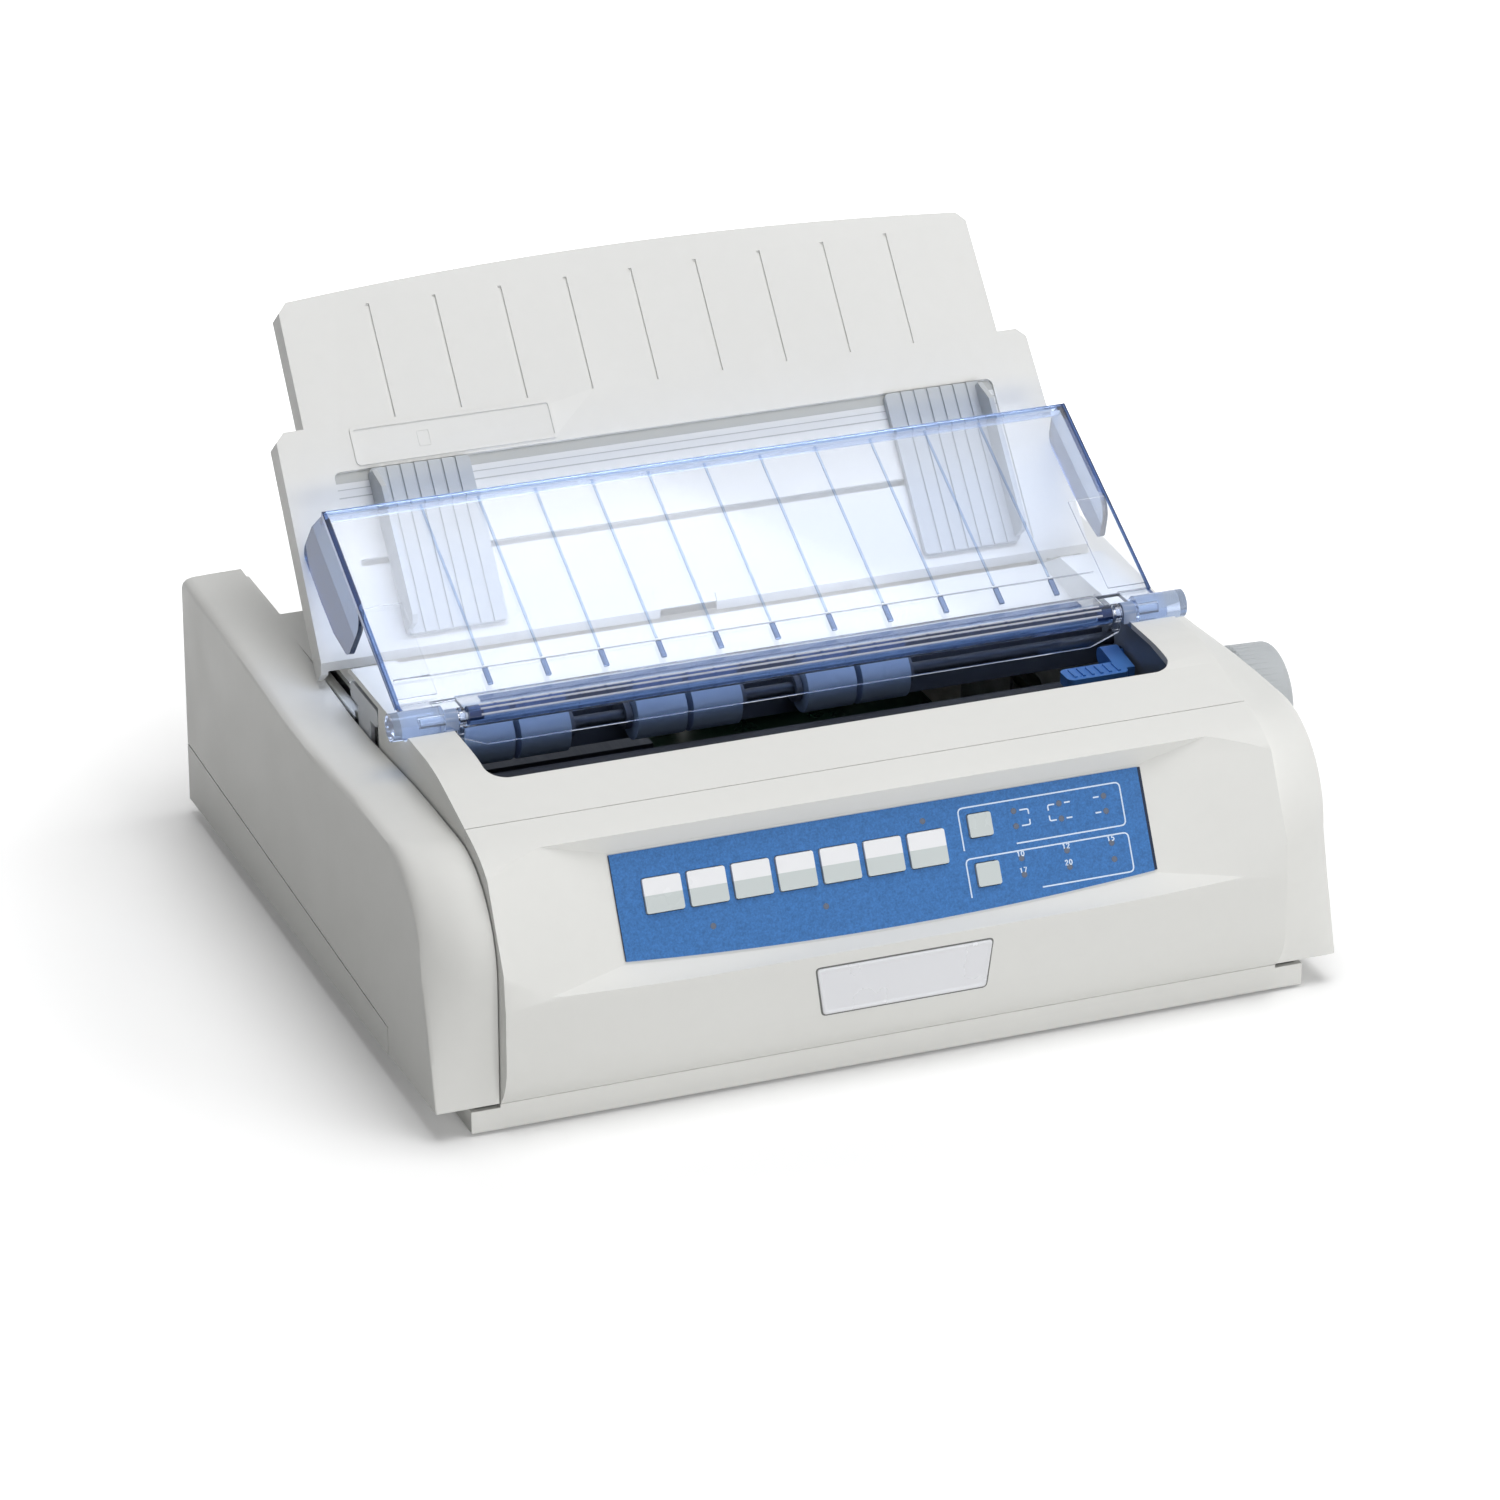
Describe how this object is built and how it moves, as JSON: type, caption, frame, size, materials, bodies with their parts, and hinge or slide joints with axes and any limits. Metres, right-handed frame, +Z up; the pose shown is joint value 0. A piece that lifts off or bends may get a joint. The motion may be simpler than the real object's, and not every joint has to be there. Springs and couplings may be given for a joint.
{
  "type": "dot matrix printer",
  "caption": "Desktop dot matrix printer with a hinged clear hood, folding sheet guide, sliding paper guides, ribbed platen knob and a recessed control panel.",
  "frame": {"origin": "centre of the bounding box, on the surface it stands on", "axes": "+X to the right seen from the front (towards the knob), +Y to the back, +Z up"},
  "size_m": [0.419, 0.3458, 0.2489],
  "materials": {
    "base_tray": "moulded ABS, pale ivory grey, fine texture",
    "rubber_feet": "black rubber",
    "front_cover": "moulded ABS, pale ivory grey, fine texture",
    "top_cover": "moulded ABS, pale ivory grey, fine texture",
    "well_liner": "dark grey moulded plastic",
    "end_cover_left": "moulded ABS, pale ivory grey, fine texture",
    "end_cover_right": "moulded ABS, pale ivory grey, fine texture",
    "rear_cover": "moulded ABS, pale ivory grey, fine texture",
    "control_panel": "blue printed film",
    "panel_lenses": "tinted lamp lenses",
    "panel_board": "green circuit board",
    "key_1": "pale grey rubber-feel keytop",
    "key_2": "pale grey rubber-feel keytop",
    "key_3": "pale grey rubber-feel keytop",
    "key_4": "pale grey rubber-feel keytop",
    "key_5": "pale grey rubber-feel keytop",
    "key_6": "pale grey rubber-feel keytop",
    "key_7": "pale grey rubber-feel keytop",
    "key_8": "pale grey rubber-feel keytop",
    "key_9": "pale grey rubber-feel keytop",
    "nameplate": "satin silver plate, bare",
    "access_hood": "clear plastic with a faint blue tint",
    "hinge_pins": "bright zinc-plated steel",
    "front_visor": "clear plastic with a faint blue tint",
    "sheet_guide": "moulded ABS, light grey",
    "paper_guide_left": "moulded ABS, mid grey",
    "paper_guide_right": "moulded ABS, mid grey",
    "platen_roller": "black platen rubber",
    "platen_shaft": "bright zinc-plated steel",
    "platen_knob": "light grey ribbed plastic",
    "platen_gear": "natural acetal",
    "side_frame_left": "bright zinc-plated steel",
    "side_frame_right": "bright zinc-plated steel",
    "feed_motor": "dark painted steel",
    "feed_pinion": "natural acetal",
    "idler_gear": "natural acetal",
    "pull_up_frame": "black moulded plastic",
    "pull_up_shaft": "natural acetal",
    "pull_up_rollers": "blue-grey rubber",
    "tractor_shaft": "bright zinc-plated steel",
    "tractor_belt": "black toothed-belt rubber",
    "tractor_left": "dark grey moulded plastic",
    "tractor_right": "dark grey moulded plastic",
    "tractor_door_left": "dark grey moulded plastic",
    "tractor_door_right": "dark grey moulded plastic",
    "guide_rods": "ground steel",
    "carriage": "black filled plastic",
    "print_head": "cast aluminium with fins",
    "ribbon_cartridge": "black moulded plastic",
    "carriage_motor": "dark painted steel",
    "drive_pulley": "bright zinc-plated steel",
    "idle_pulley": "natural acetal",
    "carriage_belt": "black toothed-belt rubber",
    "head_gap_lever": "bright blue plastic",
    "paper_lever": "light grey plastic",
    "power_supply": "folded sheet metal",
    "main_board": "green circuit board",
    "ac_inlet": "black thermoplastic",
    "power_switch": "black thermoplastic",
    "case_screws": "bright zinc-plated steel"
  },
  "bodies": {
    "case": {"base_tray": "base_tray", "rubber_feet": "rubber_feet", "front_cover": "front_cover", "top_cover": "top_cover", "well_liner": "well_liner", "end_cover_left": "end_cover_left", "end_cover_right": "end_cover_right", "rear_cover": "rear_cover", "control_panel": "control_panel", "panel_lenses": "panel_lenses", "panel_board": "panel_board", "nameplate": "nameplate", "hinge_pins": "hinge_pins", "side_frame_left": "side_frame_left", "side_frame_right": "side_frame_right", "feed_motor": "feed_motor", "pull_up_frame": "pull_up_frame", "tractor_belt": "tractor_belt", "guide_rods": "guide_rods", "carriage_motor": "carriage_motor", "carriage_belt": "carriage_belt", "power_supply": "power_supply", "main_board": "main_board", "ac_inlet": "ac_inlet", "case_screws": "case_screws"},
    "hood": {"access_hood": "access_hood"},
    "visor": {"front_visor": "front_visor"},
    "guide": {"sheet_guide": "sheet_guide"},
    "paper_guide_l": {"paper_guide_left": "paper_guide_left"},
    "paper_guide_r": {"paper_guide_right": "paper_guide_right"},
    "platen": {"platen_roller": "platen_roller", "platen_shaft": "platen_shaft", "platen_knob": "platen_knob", "platen_gear": "platen_gear"},
    "pull_up": {"pull_up_shaft": "pull_up_shaft", "pull_up_rollers": "pull_up_rollers"},
    "idler": {"idler_gear": "idler_gear"},
    "pinion": {"feed_pinion": "feed_pinion"},
    "tractor_drive": {"tractor_shaft": "tractor_shaft"},
    "tractor_l": {"tractor_left": "tractor_left"},
    "tractor_r": {"tractor_right": "tractor_right"},
    "door_l": {"tractor_door_left": "tractor_door_left"},
    "door_r": {"tractor_door_right": "tractor_door_right"},
    "carriage": {"carriage": "carriage", "print_head": "print_head", "ribbon_cartridge": "ribbon_cartridge"},
    "pulley_drive": {"drive_pulley": "drive_pulley"},
    "pulley_idle": {"idle_pulley": "idle_pulley"},
    "gap_lever": {"head_gap_lever": "head_gap_lever"},
    "paper_lever": {"paper_lever": "paper_lever"},
    "rocker": {"power_switch": "power_switch"},
    "key1": {"key_1": "key_1"},
    "key2": {"key_2": "key_2"},
    "key3": {"key_3": "key_3"},
    "key4": {"key_4": "key_4"},
    "key5": {"key_5": "key_5"},
    "key6": {"key_6": "key_6"},
    "key7": {"key_7": "key_7"},
    "key8": {"key_8": "key_8"},
    "key9": {"key_9": "key_9"}
  },
  "joints": [
    {"name": "hood_hinge", "type": "hinge", "parent": "case", "child": "hood", "pos_m": [-0.0105, -0.0501, 0.131], "axis": [1, 0, 0], "range_deg": [0, 75]},
    {"name": "visor_hinge", "type": "hinge", "parent": "case", "child": "visor", "pos_m": [-0.0105, -0.0501, 0.131], "axis": [-1, 0, 0], "range_deg": [0, 60]},
    {"name": "guide_fold", "type": "hinge", "parent": "case", "child": "guide", "pos_m": [-0.0105, 0.05149, 0.11735], "axis": [-1, 0, 0], "range_deg": [0, 36]},
    {"name": "paper_guide_left_slide", "type": "slide", "parent": "guide", "child": "paper_guide_l", "axis": [1, 0, 0], "range_m": [0, 0.06]},
    {"name": "paper_guide_right_slide", "type": "slide", "parent": "guide", "child": "paper_guide_r", "axis": [-1, 0, 0], "range_m": [0, 0.06]},
    {"name": "platen_turn", "type": "hinge", "parent": "case", "child": "platen", "pos_m": [-0.0105, -0.0551, 0.0845], "axis": [1, 0, 0], "continuous": true},
    {"name": "pull_up_turn", "type": "hinge", "parent": "case", "child": "pull_up", "pos_m": [-0.0105, -0.03453, 0.11282], "axis": [1, 0, 0], "continuous": true},
    {"name": "idler_turn", "type": "hinge", "parent": "case", "child": "idler", "pos_m": [-0.0105, -0.02509, 0.05232], "axis": [1, 0, 0], "continuous": true},
    {"name": "pinion_turn", "type": "hinge", "parent": "case", "child": "pinion", "pos_m": [-0.0105, 0.00105, 0.04229], "axis": [1, 0, 0], "continuous": true},
    {"name": "tractor_drive_turn", "type": "hinge", "parent": "case", "child": "tractor_drive", "pos_m": [-0.0105, 0.0879, 0.09], "axis": [1, 0, 0], "continuous": true},
    {"name": "tractor_left_slide", "type": "slide", "parent": "case", "child": "tractor_l", "axis": [1, 0, 0], "range_m": [0, 0.06]},
    {"name": "tractor_right_slide", "type": "slide", "parent": "case", "child": "tractor_r", "axis": [-1, 0, 0], "range_m": [0, 0.06]},
    {"name": "tractor_door_left_hinge", "type": "hinge", "parent": "tractor_l", "child": "door_l", "pos_m": [-0.1395, 0.0879, 0.103], "axis": [0, -1, 0], "range_deg": [0, 95]},
    {"name": "tractor_door_right_hinge", "type": "hinge", "parent": "tractor_r", "child": "door_r", "pos_m": [0.1185, 0.0879, 0.103], "axis": [0, 1, 0], "range_deg": [0, 95]},
    {"name": "carriage_slide", "type": "slide", "parent": "case", "child": "carriage", "axis": [1, 0, 0], "range_m": [-0.182, 0.012]},
    {"name": "drive_pulley_turn", "type": "hinge", "parent": "case", "child": "pulley_drive", "pos_m": [0.1275, -0.1301, 0.072], "axis": [0, 0, 1], "range_deg": [-120, 1745]},
    {"name": "idle_pulley_turn", "type": "hinge", "parent": "case", "child": "pulley_idle", "pos_m": [-0.1485, -0.1301, 0.072], "axis": [0, 0, 1], "range_deg": [-120, 1745]},
    {"name": "head_gap_turn", "type": "hinge", "parent": "case", "child": "gap_lever", "pos_m": [0.1395, -0.0461, 0.11], "axis": [-1, 0, 0], "range_deg": [0, 20]},
    {"name": "paper_lever_turn", "type": "hinge", "parent": "case", "child": "paper_lever", "pos_m": [-0.181, 0.0019, 0.06], "axis": [-1, 0, 0], "range_deg": [0, 33]},
    {"name": "switch_rock", "type": "hinge", "parent": "case", "child": "rocker", "pos_m": [-0.0925, 0.1659, 0.054], "axis": [0, 0, 1], "range_deg": [0, 14]},
    {"name": "key_1_press", "type": "slide", "parent": "case", "child": "key1", "axis": [0, 0.8846, -0.4664], "range_m": [0, 0.0008], "stiffness_N_per_m": 400},
    {"name": "key_2_press", "type": "slide", "parent": "case", "child": "key2", "axis": [0, 0.8846, -0.4664], "range_m": [0, 0.0008], "stiffness_N_per_m": 400},
    {"name": "key_3_press", "type": "slide", "parent": "case", "child": "key3", "axis": [0, 0.8846, -0.4664], "range_m": [0, 0.0008], "stiffness_N_per_m": 400},
    {"name": "key_4_press", "type": "slide", "parent": "case", "child": "key4", "axis": [0, 0.8846, -0.4664], "range_m": [0, 0.0008], "stiffness_N_per_m": 400},
    {"name": "key_5_press", "type": "slide", "parent": "case", "child": "key5", "axis": [0, 0.8846, -0.4664], "range_m": [0, 0.0008], "stiffness_N_per_m": 400},
    {"name": "key_6_press", "type": "slide", "parent": "case", "child": "key6", "axis": [0, 0.8846, -0.4664], "range_m": [0, 0.0008], "stiffness_N_per_m": 400},
    {"name": "key_7_press", "type": "slide", "parent": "case", "child": "key7", "axis": [0, 0.8846, -0.4664], "range_m": [0, 0.0008], "stiffness_N_per_m": 400},
    {"name": "key_8_press", "type": "slide", "parent": "case", "child": "key8", "axis": [0, 0.8846, -0.4664], "range_m": [0, 0.0008], "stiffness_N_per_m": 400},
    {"name": "key_9_press", "type": "slide", "parent": "case", "child": "key9", "axis": [0, 0.8846, -0.4664], "range_m": [0, 0.0008], "stiffness_N_per_m": 400}
  ],
  "couplings": [
    {"joint": "pull_up_turn", "follows": "platen_turn", "ratio": -2.1818},
    {"joint": "idler_turn", "follows": "platen_turn", "ratio": -1.2},
    {"joint": "pinion_turn", "follows": "platen_turn", "ratio": 3},
    {"joint": "tractor_drive_turn", "follows": "platen_turn", "ratio": 1},
    {"joint": "drive_pulley_turn", "follows": "carriage_slide", "rad_per_m": -166.67},
    {"joint": "idle_pulley_turn", "follows": "carriage_slide", "rad_per_m": -166.67}
  ]
}
